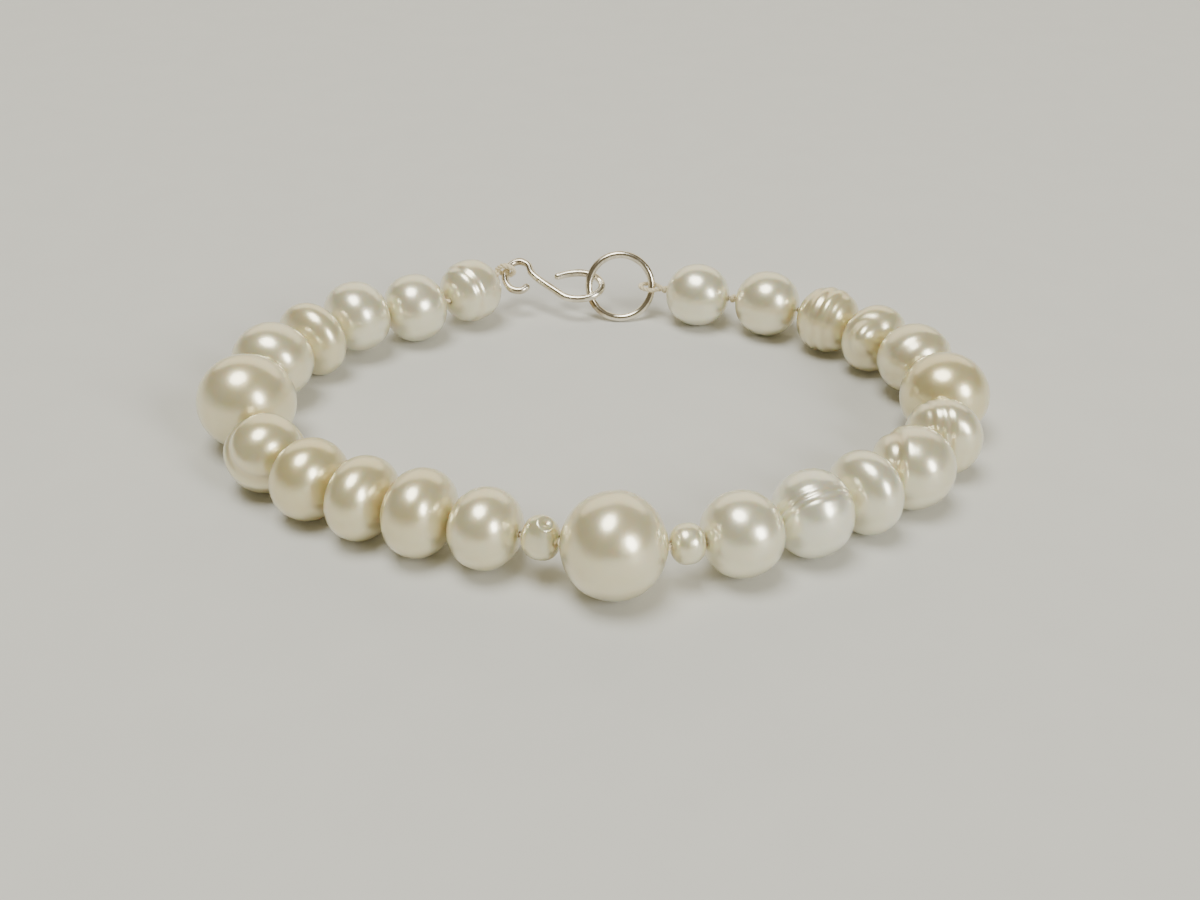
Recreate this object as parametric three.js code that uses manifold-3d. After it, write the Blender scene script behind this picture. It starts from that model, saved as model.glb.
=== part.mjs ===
// A pearl bracelet lying on a table: twenty-five drilled pearls on one thread, closed at the back
// by a silver S-hook that sits in a silver ring.
//
// Millimetres, +Z up, the table at z = 0. +X runs along the longer way of the loop and +Y points
// to the clasp. The origin is on the table, under the middle of the bracelet.

import * as THREE from "three";
import { mergeVertices } from "three/addons/utils/BufferGeometryUtils.js";
import Module from "manifold-3d";

const wasm = await Module();
wasm.setup();

// ---------------------------------------------------------------------------------------------
// Driving dimensions
// ---------------------------------------------------------------------------------------------

const CLEARANCE = 0.2; // between neighbouring pearls, where real ones just touch
const BORE = 1.0; // hole drilled through each pearl
const THREAD = 0.45;
const KNOT = 0.85;
const WIRE = 0.85; // silver wire of the hook and of the ring
const RING_OUTSIDE = 8.2;
const RING_LEAN = 28; // degrees that the ring leans back from upright
const HOOK_LEAN = 65; // the hook lies flatter than the ring, so that it passes through it
const GROOVE_WIDTH = 0.1; // half width of a growth ring, as a share of the pearl's half size

// The pearls, in thread order from the hook round the front to the ring.
//   long          size along the thread
//   wide, high    size across the thread, level and upright
//   onward        the way from this pearl to the next, in degrees from +X
//   lift          how far the thread holds it off the table
//   slack, knot   bare thread left after it, beyond the clearance, and a knot in that stretch
//   grooves       growth rings: places along the growth axis, from -1 to 1
//   depth         depth of those rings, as a share of the pearl's half size
//   turn, tip     growth axis: degrees round from the thread, and up from level
const PEARLS = [
  { long: 6.7, wide: 7.1, high: 7.1, onward: 213, lift: 0.5, slack: 0.25, grooves: [0.43], depth: 0.022 },
  { long: 6.8, wide: 7.7, high: 7.6, onward: 209 },
  { long: 6.7, wide: 8.2, high: 7.7, onward: 227, lift: 0.6 },
  { long: 5.3, wide: 8.7, high: 8.1, onward: 243 },
  { long: 7.6, wide: 8.6, high: 8.1, onward: 264, lift: 0.6 },
  { long: 9.5, wide: 9.8, high: 9.7, onward: 293 },
  { long: 7.0, wide: 7.7, high: 7.7, onward: 318, grooves: [0.38], depth: 0.06, turn: -10, tip: 56 },
  { long: 6.2, wide: 8.0, high: 7.8, onward: 330, grooves: [-0.7], depth: 0.014 },
  { long: 5.6, wide: 8.4, high: 7.8, onward: 336, grooves: [-0.7], depth: 0.02 },
  { long: 6.1, wide: 8.5, high: 8.1, onward: 339, grooves: [-0.7], depth: 0.02 },
  { long: 6.4, wide: 7.7, high: 7.4, onward: 339, lift: 0.3, slack: 0.3 },
  { long: 3.3, wide: 3.7, high: 4.1, onward: 345 },
  { long: 9.3, wide: 9.6, high: 9.6, onward: 367 },
  { long: 3.0, wide: 3.6, high: 3.7, onward: 381 },
  { long: 7.1, wide: 7.9, high: 7.8, onward: 385, lift: 0.2 },
  { long: 6.9, wide: 7.8, high: 8.2, onward: 393, grooves: [-0.13, 0.14], depth: 0.027, turn: 82, tip: 28 },
  { long: 5.4, wide: 7.9, high: 8.0, onward: 399 },
  { long: 7.4, wide: 8.0, high: 7.9, onward: 414, grooves: [0.63], depth: 0.05, turn: 134, tip: 10 },
  { long: 5.6, wide: 7.6, high: 7.8, onward: 438, grooves: [0.06, 0.26, 0.46], depth: 0.025, turn: 112 },
  { long: 8.6, wide: 8.9, high: 8.8, onward: 461 },
  { long: 7.0, wide: 7.9, high: 7.4, onward: 481, lift: 0.5, grooves: [-0.5], depth: 0.012 },
  { long: 5.5, wide: 8.0, high: 7.4, onward: 495 },
  { long: 6.6, wide: 7.2, high: 7.3, onward: 509, slack: 0.4, grooves: [-0.43, -0.04, 0.34], depth: 0.018 },
  { long: 7.2, wide: 7.4, high: 7.4, onward: 522, slack: 0.8, knot: true },
  { long: 7.3, wide: 7.2, high: 7.1, onward: 522 },
];
const FROM_HOOK = 245; // the way from the hook's thread loop to the first pearl
const FIRST_PEARL = new THREE.Vector2(-15.2, 27.5); // its middle, from the middle of the loop
const HANGING = 5; // a pearl lower than this hangs on the thread, off the table

const HOOK_MIDDLE = new THREE.Vector3(-5.3, 30.0, 3.95);
const HOOK_EYE = { middle: [-4.5, 0.8], radii: [1.6, 2.2], from: -38, to: -350, points: 9 };
const HOOK_BOW = { middle: [2.5, -0.65], radii: [2.8, 1.95], from: 205, to: 470, points: 8 };
const HOOK_TIP = [-0.3, 0.6];
const RING_MIDDLE_XY = new THREE.Vector2(2.15, 29.3);

// The thread's two end loops: one stands round the hook's eye, one lies round the ring.
const HOOK_LOOP = { middle: [-11.4, 31.4, 4.7], width: 1.9, length: 2.3, thread: 0.5, turn: -8, tilt: -65 };
const RING_LOOP = { middle: [5.6, 29.2, 3.6], width: 1.95, length: 3.8, thread: 0.36, turn: -18, tilt: 0 };

// Facets.
const AROUND = 16;
const BANDS = 10;
const WIRE_SIDES = 8;
const RING_STEPS = 36;
const HOOK_STEPS = 44;
const LOOP_STEPS = 16;
const SAME_SPOT = 1e-4; // corners closer than this are one

// ---------------------------------------------------------------------------------------------
// Materials
// ---------------------------------------------------------------------------------------------

function finish(color, roughness, metalness) {
  return new THREE.MeshStandardMaterial({ color, roughness, metalness });
}

const pearlMaterial = () => finish("#e9e2cd", 0.3, 0);
const silverMaterial = () => finish("#d9d4c8", 0.2, 1);
const threadMaterial = () => finish("#e3dbc2", 0.9, 0);

// ---------------------------------------------------------------------------------------------
// Helpers
// ---------------------------------------------------------------------------------------------

const radians = THREE.MathUtils.degToRad;

// The level direction that many degrees round from +X.
const along = (degrees) => new THREE.Vector2(Math.cos(radians(degrees)), Math.sin(radians(degrees)));

// The turn that takes +Y, the axis of a lathe or a cylinder, to a direction.
function turnUpTo(direction) {
  return new THREE.Quaternion().setFromUnitVectors(new THREE.Vector3(0, 1, 0), direction);
}

// A closed three.js geometry as a manifold-3d solid: positions only, with shared corners merged.
function solid(geometry) {
  const bare = geometry.clone();
  bare.deleteAttribute("normal");
  bare.deleteAttribute("uv");
  const merged = mergeVertices(bare, SAME_SPOT);
  const vertProperties = new Float32Array(merged.attributes.position.array);
  const triVerts = new Uint32Array(merged.index.array);
  return new wasm.Manifold(new wasm.Mesh({ numProp: 3, vertProperties, triVerts }));
}

function geometryOf(manifold) {
  const { vertProperties, triVerts } = manifold.getMesh();
  const geometry = new THREE.BufferGeometry();
  geometry.setAttribute("position", new THREE.BufferAttribute(vertProperties, 3));
  geometry.setIndex(new THREE.BufferAttribute(triVerts, 1));
  geometry.computeVertexNormals();
  return geometry;
}

function named(name, geometry, material) {
  const mesh = new THREE.Mesh(geometry, material);
  mesh.name = name;
  return mesh;
}

// A path that runs straight from point to point, with a step of an extrusion at each point.
class PointToPoint extends THREE.Curve {
  constructor(points) {
    super();
    this.points = points;
  }

  getPoint(t, target = new THREE.Vector3()) {
    const place = t * (this.points.length - 1);
    const before = Math.min(Math.floor(place), this.points.length - 2);
    return target.lerpVectors(this.points[before], this.points[before + 1], place - before);
  }

  getPointAt(u, target) {
    return this.getPoint(u, target);
  }

  getTangentAt(u, target) {
    return this.getTangent(u, target);
  }
}

// A round wire or thread along a path.
function tube(path, steps, diameter) {
  const section = new THREE.Shape();
  for (let side = 0; side < WIRE_SIDES; side += 1) {
    const angle = (2 * Math.PI * side) / WIRE_SIDES;
    const corner = [(Math.cos(angle) * diameter) / 2, (Math.sin(angle) * diameter) / 2];
    if (side === 0) section.moveTo(...corner);
    else section.lineTo(...corner);
  }
  section.closePath();
  return new THREE.ExtrudeGeometry(section, { steps, extrudePath: path, bevelEnabled: false });
}

// Points along an ellipse's arc, from one angle to the other, in the drawing's plane.
function arc({ middle, radii, from, to, points }) {
  return Array.from({ length: points }, (_, i) => {
    const angle = radians(from + ((to - from) * i) / (points - 1));
    return new THREE.Vector3(
      middle[0] + radii[0] * Math.cos(angle),
      middle[1] + radii[1] * Math.sin(angle),
      0,
    );
  });
}

// ---------------------------------------------------------------------------------------------
// Where the pearls lie
// ---------------------------------------------------------------------------------------------

// A pearl's middle stands half its height above the table, and one that hangs is level with its
// neighbours.
function middleHeights() {
  const standing = PEARLS.map(({ high, lift = 0 }) => high / 2 + lift);
  return PEARLS.map(({ high }, i) => {
    if (high > HANGING) return standing[i];
    return (standing[i - 1] + standing[i + 1]) / 2;
  });
}

// Walk along the thread from pearl to pearl. Each gets its middle, its heading, and the two mouths of
// its hole, which are level with those of its neighbours, so a big pearl is drilled a little low.
function layOut() {
  const heights = middleHeights();
  const spot = FIRST_PEARL.clone();
  return PEARLS.map((row, i) => {
    const next = PEARLS[Math.min(i + 1, PEARLS.length - 1)];
    const heading = ((PEARLS[i - 1]?.onward ?? FROM_HOOK) + row.onward) / 2;
    const middle = new THREE.Vector3(spot.x, spot.y, heights[i]);
    const half = along(heading).multiplyScalar(row.long / 2);
    const inHeight = (heights[Math.max(i - 1, 0)] + heights[i]) / 2;
    const outHeight = (heights[i] + heights[Math.min(i + 1, PEARLS.length - 1)]) / 2;
    const mouthIn = new THREE.Vector3(spot.x - half.x, spot.y - half.y, inHeight);
    const mouthOut = new THREE.Vector3(spot.x + half.x, spot.y + half.y, outHeight);
    const stride = (row.long + next.long) / 2 + CLEARANCE + (row.slack ?? 0);
    spot.add(along(row.onward).multiplyScalar(stride));
    return { row, heading, middle, mouthIn, mouthOut };
  });
}

// ---------------------------------------------------------------------------------------------
// Pearls
// ---------------------------------------------------------------------------------------------

// The profile's angles from the growth axis: even bands, with three more rows at each growth ring,
// one on each lip and one on its floor.
function profileAngles(grooves) {
  const rings = grooves.flatMap((place) =>
    [-1, 0, 1].map((side) => Math.acos(place + side * GROOVE_WIDTH)),
  );
  const even = Array.from({ length: BANDS + 1 }, (_, i) => (Math.PI * i) / BANDS);
  const spare = (angle) => rings.every((ring) => Math.abs(ring - angle) > GROOVE_WIDTH / 2);
  return [...even.filter(spare), ...rings].sort((a, b) => b - a);
}

// A pearl: a ball of unit radius turned about its growth axis, with its growth rings pressed in,
// then stretched to its size and drilled from mouth to mouth.
function pearlGeometry({ row, heading, middle, mouthIn, mouthOut }) {
  const { long, wide, high, grooves = [], depth = 0, turn = 0, tip = 0 } = row;
  const profile = profileAngles(grooves).map((angle) => {
    const place = Math.cos(angle);
    const pressed = grooves.some((groove) => Math.abs(groove - place) < GROOVE_WIDTH / 2);
    const radius = pressed ? 1 - depth : 1;
    return new THREE.Vector2(radius * Math.sin(angle), radius * place);
  });
  const level = along(turn).multiplyScalar(Math.cos(radians(tip)));
  const ball = new THREE.LatheGeometry(profile, AROUND)
    .applyQuaternion(turnUpTo(new THREE.Vector3(level.x, level.y, Math.sin(radians(tip)))))
    .scale(long / 2, wide / 2, high / 2)
    .rotateZ(radians(heading))
    .translate(...middle);

  const run = mouthOut.clone().sub(mouthIn);
  const drill = new THREE.CylinderGeometry(BORE / 2, BORE / 2, run.length() + 2 * BORE, WIRE_SIDES)
    .applyQuaternion(turnUpTo(run.normalize()))
    .translate(...mouthIn.clone().lerp(mouthOut, 0.5));
  return geometryOf(solid(ball).subtract(solid(drill)));
}

// ---------------------------------------------------------------------------------------------
// Silver clasp
// ---------------------------------------------------------------------------------------------

// How far a drawing that lies flat is turned up, to lean that many degrees back from upright.
const raised = (lean) => radians(90 - lean);

// The soldered ring rests on the table by its lowest point.
function ringGeometry() {
  const bend = (RING_OUTSIDE - WIRE) / 2;
  const height = WIRE / 2 + bend * Math.sin(raised(RING_LEAN));
  return new THREE.TorusGeometry(bend, WIRE / 2, WIRE_SIDES, RING_STEPS)
    .rotateX(raised(RING_LEAN))
    .translate(RING_MIDDLE_XY.x, RING_MIDDLE_XY.y, height);
}

// One wire bent into a small closed eye and a long open bow, with its tip turned out.
function hookGeometry() {
  const tip = new THREE.Vector3(...HOOK_TIP, 0);
  const path = new THREE.CatmullRomCurve3([...arc(HOOK_EYE), ...arc(HOOK_BOW), tip]);
  return tube(path, HOOK_STEPS, WIRE).rotateX(raised(HOOK_LEAN)).translate(...HOOK_MIDDLE);
}

// ---------------------------------------------------------------------------------------------
// Thread
// ---------------------------------------------------------------------------------------------

// An end loop: a ring of thread drawn out long, turned round +Z and stood up on its long side.
function loopGeometry({ middle, width, length, thread, turn, tilt }) {
  const ring = new THREE.TorusGeometry((width - thread) / 2, thread / 2, WIRE_SIDES, LOOP_STEPS);
  const corners = ring.attributes.position;
  const stretch = (length - width) / 2;
  for (let i = 0; i < corners.count; i += 1) {
    const x = corners.getX(i);
    if (Math.abs(x) > SAME_SPOT) corners.setX(i, x + Math.sign(x) * stretch);
  }
  return ring.rotateX(radians(tilt)).rotateZ(radians(turn)).translate(...middle);
}

// Where a loop's centre line is nearest to the pearl that it comes out of.
function loopRoot({ middle, length, thread, turn }, side) {
  const reach = along(turn).multiplyScalar((side * (length - thread)) / 2);
  return new THREE.Vector3(middle[0] + reach.x, middle[1] + reach.y, middle[2]);
}

// The thread runs straight through each pearl, and ends in the two loops.
function threadGeometry(places) {
  const mouths = places.flatMap(({ mouthIn, mouthOut }) => [mouthIn, mouthOut]);
  const route = [loopRoot(HOOK_LOOP, -1), ...mouths, loopRoot(RING_LOOP, 1)];
  const run = solid(tube(new PointToPoint(route), route.length - 1, THREAD));
  const knots = places.filter(({ row }) => row.knot).map((place) => {
    const following = places[places.indexOf(place) + 1];
    const middle = place.mouthOut.clone().lerp(following.mouthIn, 0.5);
    return solid(new THREE.SphereGeometry(KNOT / 2, WIRE_SIDES, WIRE_SIDES).translate(...middle));
  });
  const loops = [HOOK_LOOP, RING_LOOP].map((loop) => solid(loopGeometry(loop)));
  return geometryOf([...knots, ...loops].reduce((whole, piece) => whole.add(piece), run));
}

// ---------------------------------------------------------------------------------------------
// The bracelet
// ---------------------------------------------------------------------------------------------

const places = layOut();
const pearls = places.map((place, i) => {
  const number = String(i + 1).padStart(2, "0");
  return named(`pearl_${number}`, pearlGeometry(place), pearlMaterial());
});

const pieces = new THREE.Group();
pieces.add(...pearls);
pieces.add(named("s_hook", hookGeometry(), silverMaterial()));
pieces.add(named("ring", ringGeometry(), silverMaterial()));
pieces.add(named("thread", threadGeometry(places), threadMaterial()));

// Put the origin on the table, under the middle of the bracelet.
const extent = new THREE.Box3().setFromObject(pieces);
const middle = extent.getCenter(new THREE.Vector3());
pieces.position.set(-middle.x, -middle.y, -extent.min.z);

const bracelet = new THREE.Group();
bracelet.add(pieces);

export default bracelet;
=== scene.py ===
# %% [markdown]
# # A pearl bracelet on a pale table
#
# Twenty-five cream freshwater pearls lie in a loop on one silk thread, and a silver S-hook in a
# silver ring closes it. The CAD frame holds every piece at its real size. This file keeps those
# places and gives the pieces their fine surface: growth rings, knobs and pits in the pearls,
# drawn wire in the clasp, and a twisted yarn in the knots and loops.

import math

import bpy
import numpy as np
from mathutils import Euler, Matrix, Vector


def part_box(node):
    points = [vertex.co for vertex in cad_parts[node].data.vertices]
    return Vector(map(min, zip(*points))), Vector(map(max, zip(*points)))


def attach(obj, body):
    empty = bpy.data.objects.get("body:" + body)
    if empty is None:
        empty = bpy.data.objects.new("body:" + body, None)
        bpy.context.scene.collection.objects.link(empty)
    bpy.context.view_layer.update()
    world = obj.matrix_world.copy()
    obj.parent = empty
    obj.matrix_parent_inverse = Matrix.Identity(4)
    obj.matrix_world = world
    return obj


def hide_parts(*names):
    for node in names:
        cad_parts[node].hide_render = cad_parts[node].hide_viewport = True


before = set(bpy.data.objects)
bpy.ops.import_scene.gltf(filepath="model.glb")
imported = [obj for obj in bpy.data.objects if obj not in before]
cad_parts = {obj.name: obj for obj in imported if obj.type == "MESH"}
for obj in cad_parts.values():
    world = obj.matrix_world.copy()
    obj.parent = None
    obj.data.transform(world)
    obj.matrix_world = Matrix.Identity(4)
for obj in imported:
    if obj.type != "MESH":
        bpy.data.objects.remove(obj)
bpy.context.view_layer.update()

MM = 0.001

# %% [markdown]
# ## Camera
#
# A jeweller shows a bracelet from a little above the table, with an ordinary lens held close.
# That makes the front pearls clearly bigger than the back ones. A camera looks along its own -Z,
# so a camera that is turned up by 90 degrees looks level, and one that looks down by some degrees
# is turned up by that much less.

# %% Camera
LENS = 42
SENSOR = 36
LOOKING_DOWN = 33.0
CAMERA_SPOT = Vector((0.4, -121.5, 76.9)) * MM
NEAREST, FARTHEST = 5 * MM, 10.0  # nothing nearer or farther than this is drawn

camera = bpy.data.objects.new("camera", bpy.data.cameras.new("camera"))
camera.data.lens = LENS
camera.data.sensor_width = SENSOR
camera.data.clip_start = NEAREST
camera.data.clip_end = FARTHEST
camera.location = CAMERA_SPOT
camera.rotation_euler = Euler((math.radians(90 - LOOKING_DOWN), 0, 0))
bpy.context.scene.collection.objects.link(camera)
bpy.context.scene.camera = camera
print("camera", [round(x, 4) for x in camera.location], "lens", LENS)

# %% [markdown]
# ## Light
#
# Pearls are small curved mirrors under a skin of milk. What they show is mostly the room: each
# lamp becomes a soft white spot, the dim walls a khaki band, and the table a pale lower half. So
# the lamps are placed by the spots that they should make. An oval soft box hangs almost straight
# above, and a smaller, brighter one stands to the front and right. A wide pale wall behind the
# bracelet gives the pearls their light upper rims. The rest of the room is a dim khaki, which
# keeps the band dark.

# %% Colours
def linear(hex_colour):
    """An sRGB hex colour such as "#e9e2cd" as linear red, green, blue and alpha.

    Each channel is a straight line near black, and a power of 2.4 above it."""
    channels = np.array([int(hex_colour[i : i + 2], 16) for i in (1, 3, 5)]) / 255
    low, high = channels / 12.92, ((channels + 0.055) / 1.055) ** 2.4
    return (*np.where(channels <= 0.04045, low, high).tolist(), 1.0)


def add_node(tree, kind, inputs=None, **settings):
    """Adds one node. inputs maps a socket's name or number to a value or to another's output."""
    made = tree.nodes.new(kind)
    for name, value in settings.items():
        setattr(made, name, value)
    for name, value in (inputs or {}).items():
        if isinstance(value, bpy.types.NodeSocket):
            tree.links.new(value, made.inputs[name])
        else:
            made.inputs[name].default_value = value
    return made


# %% Room and lamps
ROOM = "#8f8366"
ROOM_STRENGTH = 0.55
LAMP_DISTANCE = 1.2  # metres
LAMPS = [  # wide and high are the degrees that a lamp spans as the bracelet sees it
    dict(name="overhead_box", toward=(-0.16, -0.09, 0.975), wide=34, high=30, watts=13, colour="#fffff8"),
    dict(name="front_box", toward=(0.64, -0.59, 0.49), wide=17, high=27, watts=8.8, colour="#fffffb"),
    dict(name="pale_wall", toward=(0.0, 0.86, 0.5), wide=90, high=40, watts=6.5, colour="#fff6dc"),
]

world = bpy.data.worlds.new("dim room")
world.use_nodes = True
world.node_tree.nodes.clear()
glow = add_node(
    world.node_tree,
    "ShaderNodeBackground",
    {"Color": linear(ROOM), "Strength": ROOM_STRENGTH},
)
add_node(world.node_tree, "ShaderNodeOutputWorld", {"Surface": glow.outputs[0]})
bpy.context.scene.world = world


def add_lamp(name, toward, wide, high, watts, colour):
    """An oval soft box in that direction from the bracelet, turned to face it.

    Its real size is twice its distance times the tangent of half the degrees that it spans."""
    lamp = bpy.data.lights.new(name, "AREA")
    lamp.shape = "ELLIPSE"
    lamp.size = 2 * LAMP_DISTANCE * math.tan(math.radians(wide / 2))
    lamp.size_y = 2 * LAMP_DISTANCE * math.tan(math.radians(high / 2))
    lamp.energy = watts
    lamp.color = linear(colour)[:3]
    made = bpy.data.objects.new(name, lamp)
    made.location = Vector(toward).normalized() * LAMP_DISTANCE
    made.rotation_euler = Vector(toward).to_track_quat("Z", "Y").to_euler()
    bpy.context.scene.collection.objects.link(made)


for lamp_row in LAMPS:
    add_lamp(**lamp_row)

# %% [markdown]
# ## Table
#
# The table is a sheet of matt grey-white card. It carries on far behind the bracelet, and then
# curves up, as a studio's paper roll does, so that no horizon shows from any side. It could be
# a plane with a subdivided edge, but one turned profile gives the flat middle and the rising rim
# together: height is zero out to a radius, and grows with the square of the distance past it.

# %% Surfaces from grids
def faces_of(rows, columns, closed_rows):
    """The corners of the quads of a grid whose columns close on themselves.

    Each quad goes round one way, so that it faces outwards where the rows run along a tube's
    tangent and the columns run round it from its side to its top."""
    here = np.arange(rows if closed_rows else rows - 1)[:, None]
    there = (here + 1) % rows
    left = np.arange(columns)[None, :]
    right = (left + 1) % columns
    corners = [here * columns + left, here * columns + right]
    corners += [there * columns + right, there * columns + left]
    return np.stack(np.broadcast_arrays(*corners), axis=-1).reshape(-1, 4)


def fans_of(rows, columns):
    """Triangles that close an open grid with one middle point at each end, numbered after it."""
    left = np.arange(columns)
    right = (left + 1) % columns
    last = (rows - 1) * columns
    first_pole = np.full(columns, rows * columns)
    start = np.stack([right, left, first_pole], axis=-1)
    end = np.stack([last + left, last + right, first_pole + 1], axis=-1)
    return np.concatenate([start, end])


def grid_surface(points, closed_rows=True):
    """The corners, quads and triangles of one closed grid of points, rows by columns by three."""
    rows, columns = points.shape[:2]
    corners = points.reshape(-1, 3)
    quads = faces_of(rows, columns, closed_rows)
    if closed_rows:
        return corners, quads, np.zeros((0, 3), int)
    poles = np.stack([points[0].mean(axis=0), points[-1].mean(axis=0)])
    return np.concatenate([corners, poles]), quads, fans_of(rows, columns)


def add_mesh(name, surfaces):
    """One smooth mesh object of several surfaces, each (corners, quads, triangles)."""
    offsets = np.cumsum([0] + [len(corners) for corners, _, _ in surfaces])
    corners = np.concatenate([corners for corners, _, _ in surfaces])
    quads = np.concatenate([q + at for (_, q, _), at in zip(surfaces, offsets)])
    triangles = np.concatenate([t + at for (_, _, t), at in zip(surfaces, offsets)])
    mesh = bpy.data.meshes.new(name)
    mesh.vertices.add(len(corners))
    mesh.vertices.foreach_set("co", corners.astype(np.float32).ravel())
    mesh.loops.add(quads.size + triangles.size)
    mesh.loops.foreach_set("vertex_index", np.concatenate([quads.ravel(), triangles.ravel()]))
    mesh.polygons.add(len(quads) + len(triangles))
    starts = [np.arange(len(quads)) * 4, quads.size + np.arange(len(triangles)) * 3]
    mesh.polygons.foreach_set("loop_start", np.concatenate(starts))
    mesh.polygons.foreach_set("use_smooth", np.ones(len(mesh.polygons), bool))
    mesh.update(calc_edges=True)
    mesh.validate()
    made = bpy.data.objects.new(name, mesh)
    bpy.context.scene.collection.objects.link(made)
    return made


# %% Table
FLAT_RADIUS = 0.55  # metres
TABLE_RADIUS = 1.6
TABLE_SIDES = 96
RIM_RISE = 0.35  # metres of rise at one metre past the flat part

# rings of corners: a tiny one round the middle, six on the flat part and 24 up the rim
flat_rings = np.linspace(0.05, FLAT_RADIUS, 6)
rim_rings = np.linspace(0.6, TABLE_RADIUS, 24)
reach = np.concatenate([[0.004], flat_rings, rim_rings])
rise = RIM_RISE * np.clip(reach - FLAT_RADIUS, 0, None) ** 2
turns = np.linspace(0, 2 * math.pi, TABLE_SIDES, endpoint=False)
table_grid = np.stack(
    [reach[:, None] * np.sin(turns), reach[:, None] * np.cos(turns), rise[:, None] + 0 * turns],
    axis=-1,
)
corners = np.concatenate([table_grid.reshape(-1, 3), [[0, 0, 0]]])
quads = faces_of(*table_grid.shape[:2], closed_rows=False)
middle_fan = fans_of(*table_grid.shape[:2])[:TABLE_SIDES]
table = add_mesh("table", [(corners, quads, middle_fan)])
print("table reaches", TABLE_RADIUS, "m")

# %% [markdown]
# ## Matt card
#
# Coated card scatters light almost evenly and has a faint mottle of its fibres. A noise with a
# grain of a few millimetres moves its grey by one or two per cent, which is all that shows.

# %% Card
MIX_FACTOR, MIX_A, MIX_B, MIX_RESULT = 0, 6, 7, 2  # a Mix node's sockets when it mixes colours


def new_material(name):
    """An empty node material, as its tree, with the object coordinates ready to use."""
    material = bpy.data.materials.new(name)
    material.use_nodes = True
    material.node_tree.nodes.clear()
    place = add_node(material.node_tree, "ShaderNodeTexCoord").outputs["Object"]
    return material, material.node_tree, place


def finish_with(tree, inputs):
    """Ends a material in one Principled shader with these inputs."""
    shader = add_node(tree, "ShaderNodeBsdfPrincipled", inputs)
    add_node(tree, "ShaderNodeOutputMaterial", {"Surface": shader.outputs[0]})


def per_metre(millimetres):
    """A noise's scale for a grain of that size: how many fit in a metre."""
    return 1000 / millimetres


CARD_DARK, CARD_LIGHT = "#d3d3cf", "#d8d8d4"

card, tree, place = new_material("matt coated card")
mottle = add_node(tree, "ShaderNodeTexNoise", {"Vector": place, "Scale": per_metre(6), "Detail": 3.0})
grey = add_node(
    tree,
    "ShaderNodeMix",
    {MIX_FACTOR: mottle.outputs["Fac"], MIX_A: linear(CARD_DARK), MIX_B: linear(CARD_LIGHT)},
    data_type="RGBA",
)
finish_with(tree, {"Base Color": grey.outputs[MIX_RESULT], "Roughness": 0.75})
table.data.materials.append(card)

# %% [markdown]
# ## Where the pearls lie
#
# A freshwater pearl is rarely a ball. Pearls on one string differ in length and girth, some are
# flat buttons, and many carry growth rings: furrows round the axis that the pearl turned about
# in its mussel. So one table row describes each pearl, in the order of the thread. The sizes
# repeat those of the CAD pearls, and the middles come from the CAD boxes, so nothing is fitted.
#
# Two neighbours on a real string touch. The CAD pieces keep a small gap, and here each end grows
# towards its neighbour until almost nothing is left of it. Where the string bends, two ends come
# closest beside the thread, on the inside of the bend. The gap there is the clearance, plus what
# both ends fall back by at that distance from the thread, less the distance times the bend's
# angle. At a sharp bend it can be less than nothing, and then both ends draw back a little.

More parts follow.
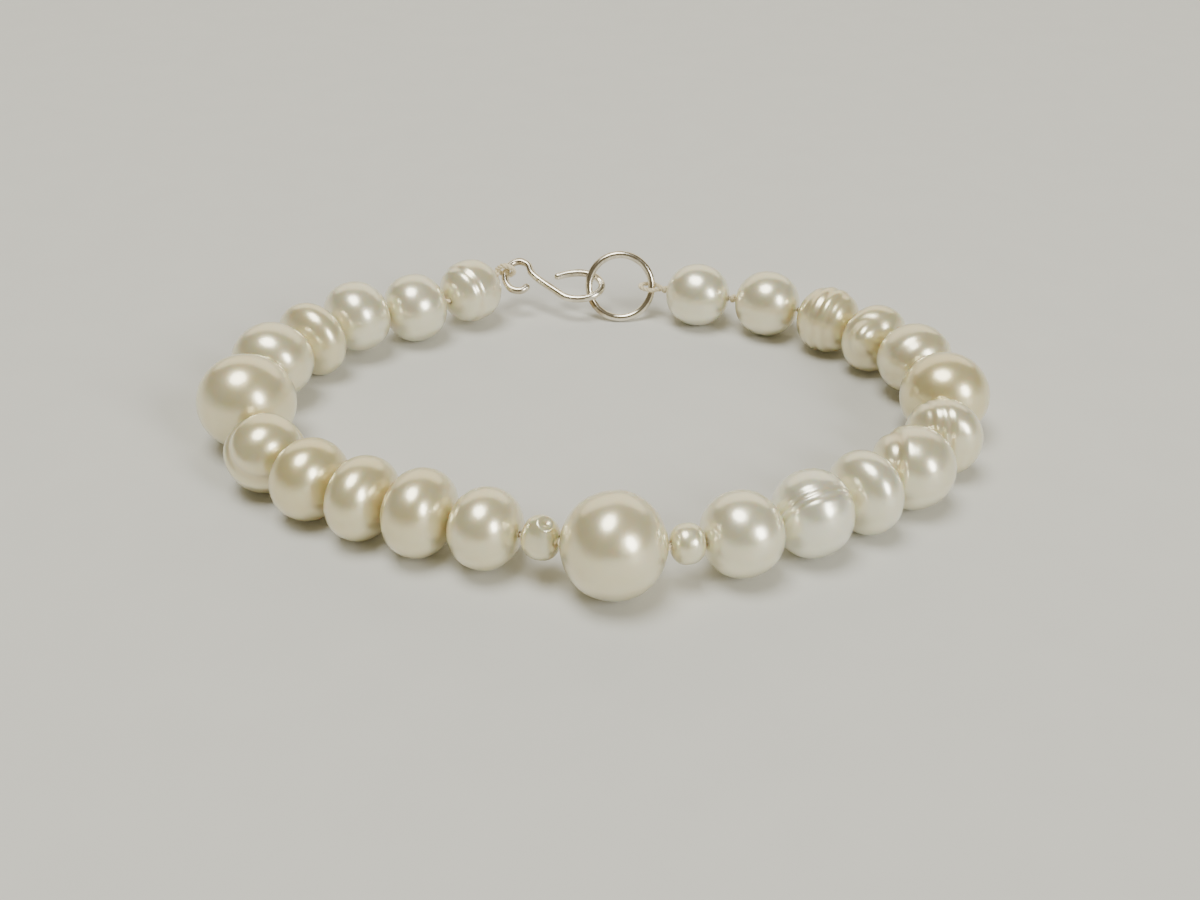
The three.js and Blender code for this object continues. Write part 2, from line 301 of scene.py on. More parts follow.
# %% Pearls, in thread order
# long, wide, high   size in mm along the thread, and across it, level and upright
# onward             way to the next pearl, in degrees from +X
# knot               whether the thread has a knot after it
# rings              growth rings: (place on the growth axis from -1 to 1, depth as a share of
#                    the half size, half width); a depth below zero makes a ridge
# turn, tip          growth axis: degrees round from the thread, and up from level
# knobs              (degrees round from the thread, degrees up, angular radius in degrees, height
#                    as a share of the half size); a height below zero makes a pit
# full               how full its shoulders are: 2 for an ellipsoid, more for a barrel
# uneven             share of the half size by which it strays from that
# tone               colour, from -1 for silvery white to 1 for deep cream
PEARLS = [
    dict(long=6.7, wide=7.1, high=7.1, onward=213, rings=[(0.43, 0.022, 0.09)], tone=-0.25),
    dict(long=6.8, wide=7.7, high=7.6, onward=209, tone=-0.45),
    dict(long=6.7, wide=8.2, high=7.7, onward=227, tone=-0.4),
    dict(long=5.3, wide=8.7, high=8.1, onward=243, full=2.1, tone=0.1),
    dict(long=7.6, wide=8.6, high=8.1, onward=264),
    dict(long=9.5, wide=9.8, high=9.7, onward=293, full=2, uneven=0.012, tone=0.3),
    dict(
        long=7.0, wide=7.7, high=7.7, onward=318, turn=-10, tip=56, rings=[(0.38, 0.06, 0.135)],
        tone=0.3,
    ),
    dict(long=6.2, wide=8.0, high=7.8, onward=330, rings=[(-0.7, 0.014, 0.07)], tone=0.6),
    dict(long=5.6, wide=8.4, high=7.8, onward=336, rings=[(-0.7, 0.02, 0.07)], tone=0.35),
    dict(long=6.1, wide=8.5, high=8.1, onward=339, rings=[(-0.7, 0.02, 0.07)], tone=0.3),
    dict(long=6.4, wide=7.7, high=7.4, onward=339, full=2.1, tone=0.1),
    dict(
        long=3.3, wide=3.7, high=4.1, onward=345, full=2.4, uneven=0.02,
        knobs=[(-60, 80, 34, 0.13), (-35, 67, 12, -0.12)],
    ),
    dict(
        long=9.3, wide=9.6, high=9.6, onward=367, full=2, turn=167, tip=16,
        rings=[(0.16, -0.012, 0.24)], tone=0.1,
    ),
    dict(long=3.0, wide=3.6, high=3.7, onward=381, full=2.4),
    dict(long=7.1, wide=7.9, high=7.8, onward=385, full=2.1, tone=-0.35),
    dict(
        long=6.9, wide=7.8, high=8.2, onward=393, turn=82, tip=28, tone=-0.8,
        rings=[(0.14, 0.014, 0.05), (0.02, 0.027, 0.045), (-0.13, 0.027, 0.045)],
    ),
    dict(long=5.4, wide=7.9, high=8.0, onward=399, knobs=[(-160, 13, 9, -0.02)], tone=-0.5),
    dict(
        long=7.4, wide=8.0, high=7.9, onward=414, turn=134, tip=10, rings=[(0.63, 0.05, 0.1)],
        tone=-0.2,
    ),
    dict(
        long=5.6, wide=7.6, high=7.8, onward=438, turn=112,
        rings=[(0.46, 0.025, 0.075), (0.26, 0.025, 0.075), (0.06, 0.025, 0.075)],
    ),
    dict(
        long=8.6, wide=8.9, high=8.8, onward=461, full=2.05,
        knobs=[(120, 21, 4, -0.02), (118, 15, 3, -0.015)], tone=0.55,
    ),
    dict(long=7.0, wide=7.9, high=7.4, onward=481, rings=[(-0.5, 0.012, 0.12)], tone=0.1),
    dict(long=5.5, wide=8.0, high=7.4, onward=495, knobs=[(117, 24, 21, 0.15)], tone=0.1),
    dict(
        long=6.6, wide=7.2, high=7.3, onward=509, tone=0.3,
        rings=[(-0.43, 0.016, 0.1), (-0.04, 0.022, 0.1), (0.34, 0.014, 0.1)],
    ),
    dict(long=7.2, wide=7.4, high=7.4, onward=522, knot=True, full=2.05, tone=-0.25),
    dict(long=7.3, wide=7.2, high=7.1, onward=522, full=2.05, tone=-0.45),
]
FROM_HOOK = 245  # the way from the hook's thread loop to the first pearl
CLEARANCE = 0.2 * MM  # between two neighbours in the CAD
LEFT_OPEN = 0.03 * MM  # what stays between them here
OUT_TO = 0.9  # how far out their ends are compared, as a share of the smallest half size
FULL = 2.2

# %% Lay them out
names = [f"pearl_{number:02d}" for number in range(1, len(PEARLS) + 1)]
middles = np.array([(low + high) / 2 for low, high in map(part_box, names)])
halves = np.array([[row["long"], row["wide"], row["high"]] for row in PEARLS]) * MM / 2
onward = np.array([FROM_HOOK] + [row["onward"] for row in PEARLS])
headings = np.radians((onward[:-1] + onward[1:]) / 2)
axes = np.stack([np.cos(headings), np.sin(headings), 0 * headings], axis=-1)

padded_heights = np.concatenate([middles[:1, 2], middles[:, 2], middles[-1:, 2]])
mouth_heights = (padded_heights[:-1] + padded_heights[1:]) / 2
mouths_in = middles - axes * halves[:, :1]
mouths_out = middles + axes * halves[:, :1]
mouths_in[:, 2] = mouth_heights[:-1]
mouths_out[:, 2] = mouth_heights[1:]

distances = np.linspace(0, OUT_TO, 91)[:, None] * halves[:, 1].min()
fullness = np.array([row.get("full", FULL) for row in PEARLS])
fall = (distances / halves[:, 1]) ** fullness
end_drop = halves[:, 0] * (1 - (1 - fall) ** (1 / fullness))
bend = np.abs(np.diff(headings))
gaps = CLEARANCE + end_drop[:, :-1] + end_drop[:, 1:] - bend * distances
closing = np.concatenate([[0], (gaps.min(axis=0) - LEFT_OPEN) / 2, [0]])
print("closing each gap by, in mm:", (2 * closing[1:-1] / MM).round(2).tolist())

# %% [markdown]
# ## The shape of a pearl
#
# A pearl could be a sphere with modifiers, but then its hole and its rings would need booleans
# and sculpting. Here it is one closed grid. Its rows start at the mouth where the thread goes in,
# run over the outside to the other mouth, roll over the lip, and come back along the hole's wall.
# On the outside each corner is a direction times a radius. The radius starts as that of a soft
# barrel, and a few long waves and some faint short ones keep it uneven. Each growth ring takes a
# rounded furrow from it and leaves a low lip on both sides, and a knob adds a bump with a moat
# round it. Last, the three half sizes stretch it.

# %% Steps and small sizes of a pearl
ROWS, COLUMNS = 92, 112
LIP_ROWS, WALL_ROWS = 4, 5
HOLE = 0.3 * MM  # radius of the drilled hole
LIP = 0.07 * MM  # radius of the hole's rounded edge
WAVES = 7  # how many cosines add up to the unevenness
LONG_WAVES = (1.5, 4.5)  # the least and most radians of such a wave to one half size
SHORT_WAVES = (6, 12)
EVEN = 0.008  # about what the long waves add or take, as a share of the half size
FINE = 0.0014  # and the short ones
RING_EVEN = 0.2  # how much a growth ring's depth changes round the pearl
RING_LIPS = 0.3  # height of the lips beside a growth ring, as a share of its depth
DEEP = 0.04  # a furrow of this depth or more has its full painted shade
MOAT = 0.35  # depth of a knob's moat, as a share of the knob's height
MOAT_AT, MOAT_WIDTH = 1.8, 0.6  # its place and half width, in the knob's angular radius
MOUTH_SHADE = 0.2 * MM  # how far past the hole's edge its darker brown reaches: worn nacre at the edge, and painted shade where neighbours meet

# %% Directions and bumps
def directions(from_pole):
    """Unit vectors in rows from near -X to near +X, and in columns round X from +Y to +Z.

    Each is (-cos, sin times cos, sin times sin) of its row's angle and then its column's. The
    columns' angles come with them."""
    down = np.linspace(from_pole, math.pi - from_pole, ROWS)[:, None]
    around = np.linspace(0, 2 * math.pi, COLUMNS, endpoint=False)[None, :]
    parts = [-np.cos(down) + 0 * around, np.sin(down) * np.cos(around), np.sin(down) * np.sin(around)]
    return np.stack(parts, axis=-1), around[0]


def pointing(turn, tip):
    """The unit vector that is so many degrees round from +X and so many up from level."""
    turn, tip = math.radians(turn), math.radians(tip)
    return np.array([math.cos(turn) * math.cos(tip), math.sin(turn) * math.cos(tip), math.sin(tip)])


def furrow(place, at, half_width):
    """How deep a growth ring is at each place on its axis: one on its floor, below zero on its lips.

    A bell curve round the ring's middle, less a low copy of it two half widths away on each side."""
    steps = (place - at) / half_width
    lips = np.exp(-((steps - 2) ** 2)) + np.exp(-((steps + 2) ** 2))
    return np.exp(-(steps**2)) - RING_LIPS * lips


def barrel(ways, full):
    """The radius in each direction of |x|^full + (distance from the X axis)^full = 1."""
    along, outward = np.abs(ways[..., 0]), np.hypot(ways[..., 1], ways[..., 2])
    return (along**full + outward**full) ** (-1 / full)


def knob(ways, turn, tip, size):
    """A round knob that is one high in its middle, with a moat round it about a third as deep.

    Both are bell curves of the angle from the middle, counted in the knob's angular radius."""
    away = np.arccos(np.clip(ways @ pointing(turn, tip), -1, 1)) / math.radians(size)
    return np.exp(-(away**2)) - MOAT * np.exp(-(((away - MOAT_AT) / MOAT_WIDTH) ** 2))


def waves(ways, random, paces=LONG_WAVES):
    """A smooth uneven number, mostly between -1 and 1, for each direction: a sum of cosines.

    Each one runs along a way of its own, at a pace between the two given, in radians."""
    total = 0
    for _ in range(WAVES):
        crest = random.normal(size=3)
        crest /= np.linalg.norm(crest)
        pace = random.uniform(*paces)
        start = random.uniform(0, 2 * math.pi)
        total = total + np.cos(pace * ways @ crest + start)
    return total / math.sqrt(WAVES)


# %% One pearl
def pearl_outside(row, half, random, mouth_shifts):
    """The outside of one pearl about its own middle, and the painted shade that each corner takes in a
    furrow, a knob's moat and a pit's middle.

    Near a mouth the directions lean up or down with it, by the fourth power of their nearness to
    it. The unevenness fades there by the eighth power of x, so that the mouths stay round."""
    rim = math.asin((HOLE + LIP) / math.sqrt(half[1] * half[2]))
    ways, around = directions(rim)
    toward_in = ((1 - ways[..., :1]) / 2) ** 4
    toward_out = ((1 + ways[..., :1]) / 2) ** 4
    up = np.array([0, 0, 1 / half[2]])
    ways = ways + (toward_in * mouth_shifts[0] + toward_out * mouth_shifts[1]) * up
    ways /= np.linalg.norm(ways, axis=-1, keepdims=True)

    growth = pointing(row.get("turn", 0), row.get("tip", 0))
    place = ways @ growth
    unevenness = row.get("uneven", EVEN) * waves(ways, random)
    unevenness += FINE * waves(ways, random, SHORT_WAVES)
    radius = barrel(ways, row.get("full", FULL)) + unevenness * (1 - ways[..., 0] ** 8)
    # Painted shade: how much of the darker furrow colour each corner takes, in furrows, knobs' moats and
    # pits' middles.
    painted_shade = np.zeros_like(place)
    for at, depth, half_width in row.get("rings", []):
        dip = furrow(place, at, half_width) * (1 + RING_EVEN * waves(ways, random))
        radius -= depth * dip
        painted_shade = np.maximum(painted_shade, dip * min(max(depth, 0) / DEEP, 1))
    # A knob's moat and a pit's middle take painted shade too.
    for turn, tip, size, height in row.get("knobs", []):
        bump = knob(ways, turn, tip, size)
        radius += height * bump
        painted_shade = np.maximum(painted_shade, -bump * np.sign(height))
    return ways * radius[..., None] * half, painted_shade, around


def hole_rows(rim_out, rim_in, mouth_out, mouth_in, around):
    """The rows from the exit's rim over the lip, back along the hole's wall and up to the entry.

    The wall is a straight blend of two circles round the hole's axis, one at each lip's foot."""
    axis = mouth_out - mouth_in
    axis /= np.linalg.norm(axis)
    side = np.cross([0, 0, 1], axis)
    side /= np.linalg.norm(side)
    circle = HOLE * (np.cos(around)[:, None] * side + np.sin(around)[:, None] * np.cross(axis, side))

    def lip(rim, mouth, inward):
        """A quarter round from the rim to the start of the wall, which is one lip further in."""
        start = mouth + inward * (((rim - mouth) @ inward).max() + LIP) + circle
        gap = start - rim
        level = (gap @ inward)[:, None] * inward
        turn = np.linspace(0, math.pi / 2, LIP_ROWS + 1)[1:, None, None]
        return rim + level * (1 - np.cos(turn)) + (gap - level) * np.sin(turn)

    down, up = lip(rim_out, mouth_out, -axis), lip(rim_in, mouth_in, axis)[::-1]
    share = np.linspace(0, 1, WALL_ROWS + 2)[1:-1, None, None]
    return np.concatenate([down, down[-1] * (1 - share) + up[0] * share, up])


def pearl_points(row, half, middle, axis, mouths, grow, random):
    """All rows of one pearl in the frame, with the painted shade of its furrows, moats and pits and how
    close the hole is.

    The half towards the entry is stretched until its end moves by grow[0], the other by grow[1]."""
    side = np.cross([0, 0, 1], axis)
    to_frame = np.stack([axis, side, [0, 0, 1]])
    shifts = [mouth[2] - middle[2] for mouth in mouths]
    outside, painted_shade, around = pearl_outside(row, half, random, shifts)
    stretch = np.where(outside[..., 0] < 0, grow[0], grow[1]) / half[0]
    outside[..., 0] *= 1 + stretch
    inside = hole_rows(
        outside[-1],
        outside[0],
        np.array([half[0], 0, shifts[1]]),
        np.array([-half[0], 0, shifts[0]]),
        around,
    )
    from_thread = np.hypot(outside[..., 1], outside[..., 2] - np.mean(shifts))
    # Brown round each drill hole and down its wall: worn nacre at the edge, and painted shade where two
    # pearls meet.
    rim = np.exp(-(((from_thread - HOLE) / MOUTH_SHADE) ** 2))
    painted_shade = np.concatenate([np.clip(painted_shade, 0, 1), np.zeros(inside.shape[:2])])
    rim = np.concatenate([rim, np.ones(inside.shape[:2])])
    return np.concatenate([outside, inside]) @ to_frame + middle, painted_shade, rim


# %% All the pearls
def add_attribute(piece, name, values):
    """Stores one number for each corner, for the materials to read."""
    made = piece.data.attributes.new(name, "FLOAT", "POINT")
    made.data.foreach_set("value", np.asarray(values, np.float32).ravel())


pearls = []
for i, (name, row) in enumerate(zip(names, PEARLS)):
    points, painted_shade, rim = pearl_points(
        row,
        halves[i],
        middles[i],
        axes[i],
        (mouths_in[i], mouths_out[i]),
        (closing[i], closing[i + 1]),
        np.random.default_rng(i),
    )
    pearl = add_mesh(f"{name}_nacre", [grid_surface(points)])
    # The painted shade of furrows, moats and pits, stored under the name furrow.
    add_attribute(pearl, "furrow", painted_shade)
    # The same brown at the mouths: partly wear, partly painted shade.
    add_attribute(pearl, "rim", rim)
    add_attribute(pearl, "tone", np.full(painted_shade.shape, row.get("tone", 0.0)))
    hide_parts(name)
    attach(pearl, "root")
    pearls.append(pearl)
print(len(pearls), "pearls,", 2 * sum(len(p.data.polygons) for p in pearls), "triangles")

# %% [markdown]
# ## Nacre
#
# Nacre is a stack of clear plates, each thinner than a wavelength, over a cream core. Part of the
# light goes in, wanders and comes out milky, and part is thrown back by the plates like a soft
# metal mirror that has the cream colour of the pearl. A Principled shader does both at once: a
# metallic share for the plates, some scattering below for the milk, and a clear coat for the
# polish, which gives the small hard core of each highlight. One clear skin has an IOR near 1.6,
# and the coat's is higher, because many plates throw back more than one does.

# %% Nacre's colour
PALE, CREAM = "#faf8e4", "#e6d89f"
# Of the two colours below, the one for furrows is painted shade: a darker, browner cream for furrows,
# knobs' moats and pits' middles.
# Of the two colours below, the one for the mouths is brown round each drill hole: worn nacre at its edge,
# and painted shade where pearls meet and down its wall.
PAINTED_FURROW_SHADE, WORN_AND_SHADED_MOUTHS = "#d0bd8d", "#a98d62"
PAINTED_SHADE_SHARE, MOUTH_SHARE = 0.35, 0.3  # how much of the painted furrow shade and of the mouths' brown shows where each is strongest
CLOUDS = 0.9  # how far cloudy patches shift a pearl's tone

nacre, tree, place = new_material("freshwater nacre")
tone = add_node(tree, "ShaderNodeAttribute", attribute_name="tone").outputs["Fac"]
furrow_shade_attribute = add_node(tree, "ShaderNodeAttribute", attribute_name="furrow").outputs["Fac"]
mouth_wear_and_shade = add_node(tree, "ShaderNodeAttribute", attribute_name="rim").outputs["Fac"]

clouds = add_node(tree, "ShaderNodeTexNoise", {"Vector": place, "Scale": per_metre(4), "Detail": 2.0})
cloudy_tone = add_node(
    tree,
    "ShaderNodeMath",
    {0: clouds.outputs["Fac"], 1: CLOUDS, 2: tone},
    operation="MULTIPLY_ADD",
)
depth_of_cream = add_node(
    tree,
    "ShaderNodeMapRange",
    {"Value": cloudy_tone.outputs[0], "From Min": -0.5, "From Max": 1.4},
)
cream = add_node(
    tree,
    "ShaderNodeMix",
    {MIX_FACTOR: depth_of_cream.outputs[0], MIX_A: linear(PALE), MIX_B: linear(CREAM)},
    data_type="RGBA",
)
furrow_shade_factor = add_node(tree, "ShaderNodeMath", {0: furrow_shade_attribute, 1: PAINTED_SHADE_SHARE}, operation="MULTIPLY")
with_furrow_shade = add_node(
    tree,
    "ShaderNodeMix",
    {MIX_FACTOR: furrow_shade_factor.outputs[0], MIX_A: cream.outputs[MIX_RESULT], MIX_B: linear(PAINTED_FURROW_SHADE)},
    data_type="RGBA",
)
mouth_shade_factor = add_node(tree, "ShaderNodeMath", {0: mouth_wear_and_shade, 1: MOUTH_SHARE}, operation="MULTIPLY")
body = add_node(
    tree,
    "ShaderNodeMix",
    {MIX_FACTOR: mouth_shade_factor.outputs[0], MIX_A: with_furrow_shade.outputs[MIX_RESULT], MIX_B: linear(WORN_AND_SHADED_MOUTHS)},
    data_type="RGBA",
)

# %% Nacre's dimples and shine
ripple = add_node(tree, "ShaderNodeTexNoise", {"Vector": place, "Scale": per_metre(1.1), "Detail": 2.0})
dimples = add_node(
    tree,
    "ShaderNodeBump",
    {"Height": ripple.outputs["Fac"], "Strength": 0.25, "Distance": 0.05 * MM},
)
finish_with(
    tree,
    {
        "Base Color": body.outputs[MIX_RESULT],
        "Metallic": 0.62,
        "Roughness": 0.3,
        "IOR": 1.6,
        "Subsurface Weight": 0.8,
        "Subsurface Radius": (1.0, 0.65, 0.35),
        "Subsurface Scale": 3 * MM,
        "Coat Weight": 1.0,
        "Coat Roughness": 0.16,
        "Coat IOR": 2.0,
        "Normal": dimples.outputs[0],
    },
)
for pearl in pearls:
    pearl.data.materials.append(nacre)

# %% [markdown]
# ## Silver clasp
#
# The clasp is two bent wires: a ring that is soldered shut, and an S-hook with a small eye and a
# long open bow. Each is a round section carried along a line. A curve object with a bevel would do
# it, but a grid worked out here can round the hook's cut end and swell the solder seam too.

# %% Tubes along a path
def frame_along(path, up, closed):
    """The side and top at each point of a path that never runs along `up`.

    The side is `up` crossed with the tangent, and the top is the tangent crossed with the side."""
    if closed:
        tangent = np.roll(path, -1, axis=0) - np.roll(path, 1, axis=0)
    else:
        tangent = np.gradient(path, axis=0)
    tangent /= np.linalg.norm(tangent, axis=1, keepdims=True)
    side = np.cross(np.asarray(up, float), tangent)
    side /= np.linalg.norm(side, axis=1, keepdims=True)
    return side, np.cross(tangent, side)


def tube(path, radius, up, sides, closed):
    """A round section about each point of the path. radius is one number or one for each point."""
    side, top = frame_along(path, up, closed)
    around = np.linspace(0, 2 * math.pi, sides, endpoint=False)[None, :, None]
    radius = np.broadcast_to(radius, len(path))[:, None, None]
    points = path[:, None] + radius * (np.cos(around) * side[:, None] + np.sin(around) * top[:, None])
    return grid_surface(points, closed_rows=closed)


def spline(points, per_point=12):
    """A smooth line through the points: a centripetal Catmull-Rom spline.

    Knots are spaced by the square root of the distance between points, and each place is three
    rounds of straight mixing between its four nearest points."""
    points = np.asarray(points, float)
    points = np.vstack([2 * points[0] - points[1], points, 2 * points[-1] - points[-2]])
    knots = np.concatenate([[0], np.cumsum(np.linalg.norm(np.diff(points, axis=0), axis=1) ** 0.5)])
    at = np.linspace(knots[1], knots[-2], per_point * (len(points) - 3) + 1)
    first = np.clip(np.searchsorted(knots, at, side="right") - 2, 0, len(points) - 4)
    mixed = [points[first + k] for k in range(4)]
    times = [knots[first + k] for k in range(4)]
    for spans in (((0, 1), (1, 2), (2, 3)), ((0, 2), (1, 3)), ((1, 2),)):
        shares = [(at - times[low]) / (times[high] - times[low]) for low, high in spans]
        mixed = [a + (b - a) * share[:, None] for a, b, share in zip(mixed, mixed[1:], shares)]
    return mixed[0]


def run_of(path):
    """How far along the path each of its points lies: a running sum of the steps' lengths."""
    return np.concatenate([[0], np.cumsum(np.linalg.norm(np.diff(path, axis=0), axis=1))])


def points_at(path, at):
    """The places at those distances along the path, on straight lines between its points."""
    run = run_of(path)
    return np.stack([np.interp(at, run, path[:, k]) for k in range(3)], axis=-1)


def evenly(path, step):
    """The same line with points at an even distance along it, close to `step`."""
    length = run_of(path)[-1]
    return points_at(path, np.linspace(0, length, max(int(round(length / step)), 2) + 1))


# %% Clasp sizes, in mm
WIRE = 0.85
RING_OUTSIDE = 8.2
RING_LEAN = 28  # degrees back from upright
HOOK_LEAN = 65
RING_MIDDLE = np.array([2.15, 29.3])  # from an origin on the table, which the ring's box finds
HOOK_MIDDLE = np.array([-5.3, 30.0, 3.95])
# The hook's flat drawing: two arcs of ellipses, in degrees, and the point where its bow ends.
HOOK_EYE = dict(middle=(-4.5, 0.8), radii=(1.6, 2.2), from_=-38, to=-350, points=9)
HOOK_BOW = dict(middle=(2.5, -0.65), radii=(2.8, 1.95), from_=205, to=470, points=8)
HOOK_TIP = (-0.3, 0.6, 0.0)

ring_low, ring_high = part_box("ring")
ring_spot = np.array((ring_low + ring_high) / 2) / MM
drawing_origin = np.array([*(ring_spot[:2] - RING_MIDDLE), 0.0])


def arc(middle, radii, from_, to, points):
    """Points along an ellipse's arc, between two angles in degrees, on a flat drawing."""
    angle = np.radians(np.linspace(from_, to, points))
    x = middle[0] + radii[0] * np.cos(angle)
    y = middle[1] + radii[1] * np.sin(angle)
    return np.stack([x, y, 0 * angle], axis=-1)


def about_x(degrees):
    """The matrix that turns rows of points about X, from +Y towards +Z."""
    cosine, sine = math.cos(math.radians(degrees)), math.sin(math.radians(degrees))
    return np.array([[1, 0, 0], [0, cosine, sine], [0, -sine, cosine]])


def about_z(degrees):
    """The matrix that turns rows of points about Z, from +X towards +Y."""
    cosine, sine = math.cos(math.radians(degrees)), math.sin(math.radians(degrees))
    return np.array([[cosine, sine, 0], [-sine, cosine, 0], [0, 0, 1]])


def stood_up(points, lean):
    """A flat drawing turned up about X until it leans that many degrees back from upright."""
    return points @ about_x(90 - lean)


def across(lean):
    """The way that a drawing's own normal points once it is stood up."""
    return stood_up(np.array([[0, 0, 1.0]]), lean)[0]


# %% Ring and hook
WIRE_SIDES = 40
WIRE_STEP = 0.12 * MM  # between the rows of the hook
RING_ROWS = 240
END_ROWS = 8
SEAM_AT, SEAM_WIDTH = 60, 7  # the ring's solder seam: degrees round from +X, and its spread
SEAM_SWELL = 0.05  # how much thicker the wire is there

circle = np.radians(np.linspace(0, 360, RING_ROWS, endpoint=False))
bend_radius = (RING_OUTSIDE - WIRE) / 2
flat_ring = bend_radius * np.stack([np.cos(circle), np.sin(circle), 0 * circle], axis=-1)
seam = np.exp(-((np.degrees(circle) - SEAM_AT) ** 2) / (2 * SEAM_WIDTH**2))
ring_path = (stood_up(flat_ring, RING_LEAN) + ring_spot) * MM
ring_radius = WIRE / 2 * (1 + SEAM_SWELL * seam) * MM
ring = add_mesh("ring_wire", [tube(ring_path, ring_radius, across(RING_LEAN), WIRE_SIDES, True)])


def rounded(path, radius, step):
    """The path's points and radii with both ends rounded off like a ball of the wire's size.

    Through a quarter turn of an angle, the radius there is the wire's times its sine, and the
    distance from the end is the wire's radius less that times its cosine."""
    path = evenly(path, step)
    length = run_of(path)[-1]
    turn = np.linspace(0, math.pi / 2, END_ROWS + 1)[1:-1]
    near = radius * (1 - np.cos(turn))
    middle = np.linspace(radius, length - radius, len(path))
    at = np.concatenate([near, middle, length - near[::-1]])
    ends = radius * np.sin(turn)
    radii = np.concatenate([ends, np.full(len(middle), radius), ends[::-1]])
    return points_at(path, at), radii


hook_drawing = spline(np.vstack([arc(**HOOK_EYE), arc(**HOOK_BOW), HOOK_TIP]))
hook_line = (stood_up(hook_drawing, HOOK_LEAN) + HOOK_MIDDLE + drawing_origin) * MM
hook_path, hook_radii = rounded(hook_line, WIRE / 2 * MM, WIRE_STEP)
hook = add_mesh("s_hook_wire", [tube(hook_path, hook_radii, across(HOOK_LEAN), WIRE_SIDES, False)])

for piece, node in ((ring, "ring"), (hook, "s_hook")):
    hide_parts(node)
    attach(piece, "root")
print("hook", np.round(hook.dimensions, 4), "ring", np.round(ring.dimensions, 4))

# %% [markdown]
# ## Sterling silver
#
# Worn sterling silver is bright where it rubs against skin, and a warm brown film stays where it
# does not. The film is thin, so it only tints the reflection. A slow noise spreads it in patches,
# and those dark brown patches are partly that film and partly painted reflection: they stand for the
# dim room that polished wire shows between the bright lamp segments. A fine noise gives the hair
# scratches that soften the shine.

# %% Silver
# The second colour below is a warm brown: partly tarnish film, partly painted reflection of the dim room
# between the wire's bright segments.
BRIGHT, TARNISH_AND_DARK_REFLECTION = "#f1ebdc", "#a08a64"

silver, tree, place = new_material("worn sterling silver")
# Patches of tarnish and of painted dark reflection, which also make the wire duller.
tarnish_and_dark_patches = add_node(tree, "ShaderNodeTexNoise", {"Vector": place, "Scale": per_metre(2.5), "Detail": 2.0})
tarnish_and_dark_share = add_node(
    tree,
    "ShaderNodeMapRange",
    {"Value": tarnish_and_dark_patches.outputs["Fac"], "From Min": 0.48, "From Max": 0.75},
)
metal = add_node(
    tree,
    "ShaderNodeMix",
    {MIX_FACTOR: tarnish_and_dark_share.outputs[0], MIX_A: linear(BRIGHT), MIX_B: linear(TARNISH_AND_DARK_REFLECTION)},
    data_type="RGBA",
)
dullness = add_node(
    tree,
    "ShaderNodeMapRange",
    {"Value": tarnish_and_dark_patches.outputs["Fac"], "From Min": 0.3, "From Max": 0.8, "To Min": 0.14, "To Max": 0.3},
)
scratches = add_node(
    tree,
    "ShaderNodeTexNoise",
    {"Vector": place, "Scale": per_metre(0.15), "Detail": 4.0},
)
scratched = add_node(
    tree,
    "ShaderNodeBump",
    {"Height": scratches.outputs["Fac"], "Strength": 0.15, "Distance": 0.01 * MM},
)
finish_with(
    tree,
    {
        "Base Color": metal.outputs[MIX_RESULT],
        "Metallic": 1.0,
        "Roughness": dullness.outputs[0],
        "Normal": scratched.outputs[0],
    },
)
for piece in (ring, hook):
    piece.data.materials.append(silver)

# %% [markdown]
# ## Silk thread
#
# Bead silk is three plies twisted together. It runs straight through each pearl, shows in the few
# places where the pearls stand apart, and ends in two loops: one round the hook's eye, one through
# the ring. Each ply is a tube that winds round the thread's line like a helix: its offset turns
# by one full turn for each length of twist. A knot is a tight trefoil of the same yarn, which is
# the path that an overhand knot takes.

# %% Yarn sizes, in mm
THREAD = 0.4
TWIST = 1.5  # thread for one full turn of the plies
PLIES = 3
PLY_SIDES = 10
PLY_PRESS = 1.08  # plies are a little thicker than would just touch, because they press together
STEP = 0.14  # between the points of the line
ROUNDED = 7  # points over which a bend of the line is rounded
# Each loop has its middle, from the same origin as the clasp's, its outer width and length, how
# thick its thread is, how far it is turned about Z and tilted about X, in degrees, and its root,
# which is +1 or -1 where the thread leaves it on its +X or -X side.
HOOK_LOOP = dict(
    middle=(-11.4, 31.4, 4.7), width=2.35, length=2.6, thread=0.6, turn=-8, tilt=-65, root=-1
)
RING_LOOP = dict(
    middle=(5.8, 29.22, 3.6), width=2.15, length=3.2, thread=0.48, turn=-18, tilt=0, root=1
)
PINCH = 0.7  # how much a loop narrows towards its root
LOOP_ROWS = 120
KNOT_YARN = 0.4
KNOT_TWIST = 0.9  # yarn for one full turn of the plies in a knot
KNOT_ROWS = 180
KNOT_LIFT = 1.1  # half the height of a trefoil that reaches three from its middle
KNOT = 1.1  # size of the knot between two pearls
ROOT_KNOTS = (1.5, 1.0)  # where the loops close, by the hook and by the ring

# %% Yarn
def yarn(path, thickness, up, closed, twist=TWIST):
    """Three plies round a path in mm. Each is a helix about it and touches the other two."""
    side, top = frame_along(path, up, closed)
    run = run_of(path)
    if closed:
        length = run[-1] + np.linalg.norm(path[0] - path[-1])
        twist = length / max(round(length / twist), 1)
    ply = thickness / (2 + 4 / math.sqrt(3))  # radius of one of three touching plies
    surfaces = []
    for number in range(PLIES):
        angle = (2 * math.pi * (run / twist + number / PLIES))[:, None]
        strand = path + 2 * ply / math.sqrt(3) * (np.cos(angle) * side + np.sin(angle) * top)
        surfaces.append(tube(strand * MM, ply * PLY_PRESS * MM, up, PLY_SIDES, closed))
    return surfaces


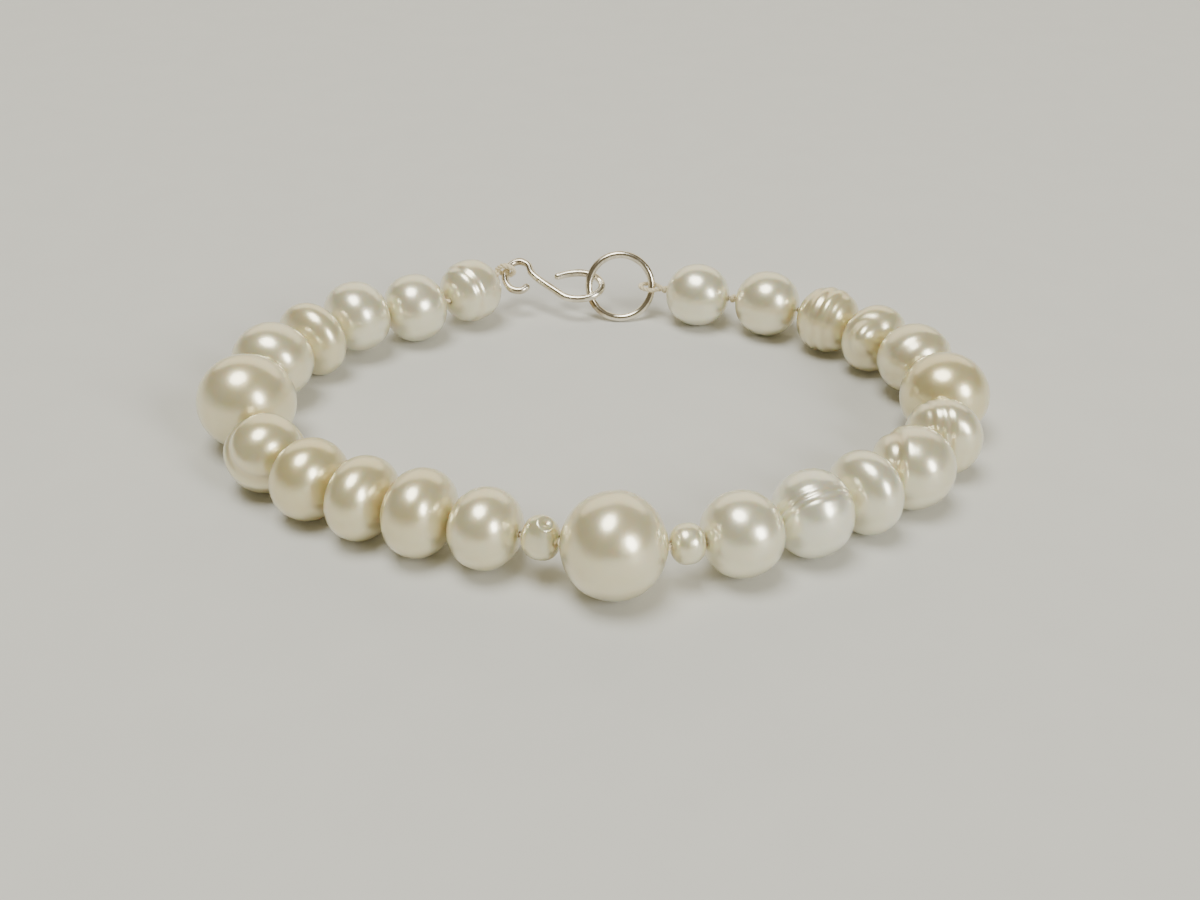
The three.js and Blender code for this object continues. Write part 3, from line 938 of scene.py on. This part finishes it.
# %% Paths of loops and knots
def loop_path(middle, width, length, thread, turn, tilt, root):
    """A teardrop of thread with its point at the root, on the +X or -X side, put in its place.

    It is an ellipse whose width falls by the square of how near the root it is. It is tilted about
    X and then turned about Z. Its own normal comes with it."""
    angle = np.radians(np.linspace(0, 360, LOOP_ROWS, endpoint=False))
    radius = (width - thread) / 2
    x = (length - thread) / 2 * np.cos(angle)
    y = radius * np.sin(angle) * (1 - PINCH * np.clip(root * np.cos(angle), 0, 1) ** 2)
    flat = np.stack([x, y, 0 * angle], axis=-1)
    spin = about_x(tilt) @ about_z(turn)
    return flat @ spin + np.array(middle) + drawing_origin, np.array([0, 0, 1.0]) @ spin


def loop_root(loop):
    """Where the thread leaves a loop: half the loop's length from its middle, on the root's side."""
    reach = loop["root"] * (loop["length"] - loop["thread"]) / 2
    return np.array(loop["middle"]) + drawing_origin + np.array([reach, 0, 0]) @ about_z(loop["turn"])


def trefoil(middle, axis, size):
    """The closed line of an overhand knot of that size, with its threefold axis along `axis`.

    Its level coordinates are sin t + 2 sin 2t and cos t - 2 cos 2t, which reach three from the
    middle, and its height follows the sine of three times the angle."""
    angle = np.radians(np.linspace(0, 360, KNOT_ROWS, endpoint=False))
    x = np.sin(angle) + 2 * np.sin(2 * angle)
    y = np.cos(angle) - 2 * np.cos(2 * angle)
    flat = np.stack([x, y, -KNOT_LIFT * np.sin(3 * angle)], axis=-1)
    side = np.cross([0, 0, 1], axis)
    side /= np.linalg.norm(side)
    spin = np.stack([side, np.cross(axis, side), axis])
    return flat * (size / 2 / 3) @ spin + middle, np.asarray(axis)


def smoothed(line, points):
    """The line with its bends rounded: each point is a mean of its neighbours, weighted by a bell."""
    window = np.hanning(points) / np.hanning(points).sum()
    padded = np.pad(line, ((points // 2, points // 2), (0, 0)), mode="edge")
    return np.stack([np.convolve(padded[:, k], window, "valid") for k in range(3)], axis=-1)


# %% Thread and loops
thread_surfaces = []
for loop in (HOOK_LOOP, RING_LOOP):
    path, up = loop_path(**loop)
    thread_surfaces += yarn(path, loop["thread"], up, True)

roots = [loop_root(HOOK_LOOP), loop_root(RING_LOOP)]
route = np.stack([mouths_in, mouths_out], axis=1).reshape(-1, 3) / MM
strand_line = smoothed(evenly(np.vstack([roots[0], route, roots[1]]), STEP), ROUNDED)
thread_surfaces += yarn(strand_line, THREAD, (0, 0, 1), False)
print("thread", round(float(run_of(strand_line)[-1]), 1), "mm through the pearls")

# %% Knots
knots = []
for i, row in enumerate(PEARLS):
    if row.get("knot"):
        knots.append(((mouths_out[i] + mouths_in[i + 1]) / 2 / MM, axes[i], KNOT))
for root, mouth, size in zip(roots, (mouths_in[0], mouths_out[-1]), ROOT_KNOTS):
    way = mouth / MM - root
    knots.append((root + way / 2, way / np.linalg.norm(way), size))
for spot, way, size in knots:
    path, up = trefoil(spot, way, size - KNOT_YARN)
    thread_surfaces += yarn(path, KNOT_YARN, up, True, KNOT_TWIST)
print("knots at", [np.round(spot, 1).tolist() for spot, _, _ in knots])

thread = add_mesh("silk_thread", thread_surfaces)
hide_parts("thread")
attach(thread, "root")
print("thread:", len(thread.data.loops) - 2 * len(thread.data.polygons), "triangles")

# %% [markdown]
# ## Bead silk
#
# Silk takes a warm cream with wear and scatters light along its surface fibres, so it has a sheen
# at grazing angles and no highlight of its own.

# %% Silk
FRESH_SILK, WORN_SILK = "#f6efd8", "#dcc99c"

silk, tree, place = new_material("twisted bead silk")
wear = add_node(tree, "ShaderNodeTexNoise", {"Vector": place, "Scale": per_metre(0.8), "Detail": 3.0})
silk_colour = add_node(
    tree,
    "ShaderNodeMix",
    {MIX_FACTOR: wear.outputs["Fac"], MIX_A: linear(FRESH_SILK), MIX_B: linear(WORN_SILK)},
    data_type="RGBA",
)
fibres = add_node(tree, "ShaderNodeTexNoise", {"Vector": place, "Scale": per_metre(0.08), "Detail": 2.0})
fibrous = add_node(
    tree,
    "ShaderNodeBump",
    {"Height": fibres.outputs["Fac"], "Strength": 0.4, "Distance": 0.02 * MM},
)
finish_with(
    tree,
    {
        "Base Color": silk_colour.outputs[MIX_RESULT],
        "Roughness": 0.8,
        "Sheen Weight": 0.4,
        "Sheen Roughness": 0.4,
        "Normal": fibrous.outputs[0],
    },
)
thread.data.materials.append(silk)
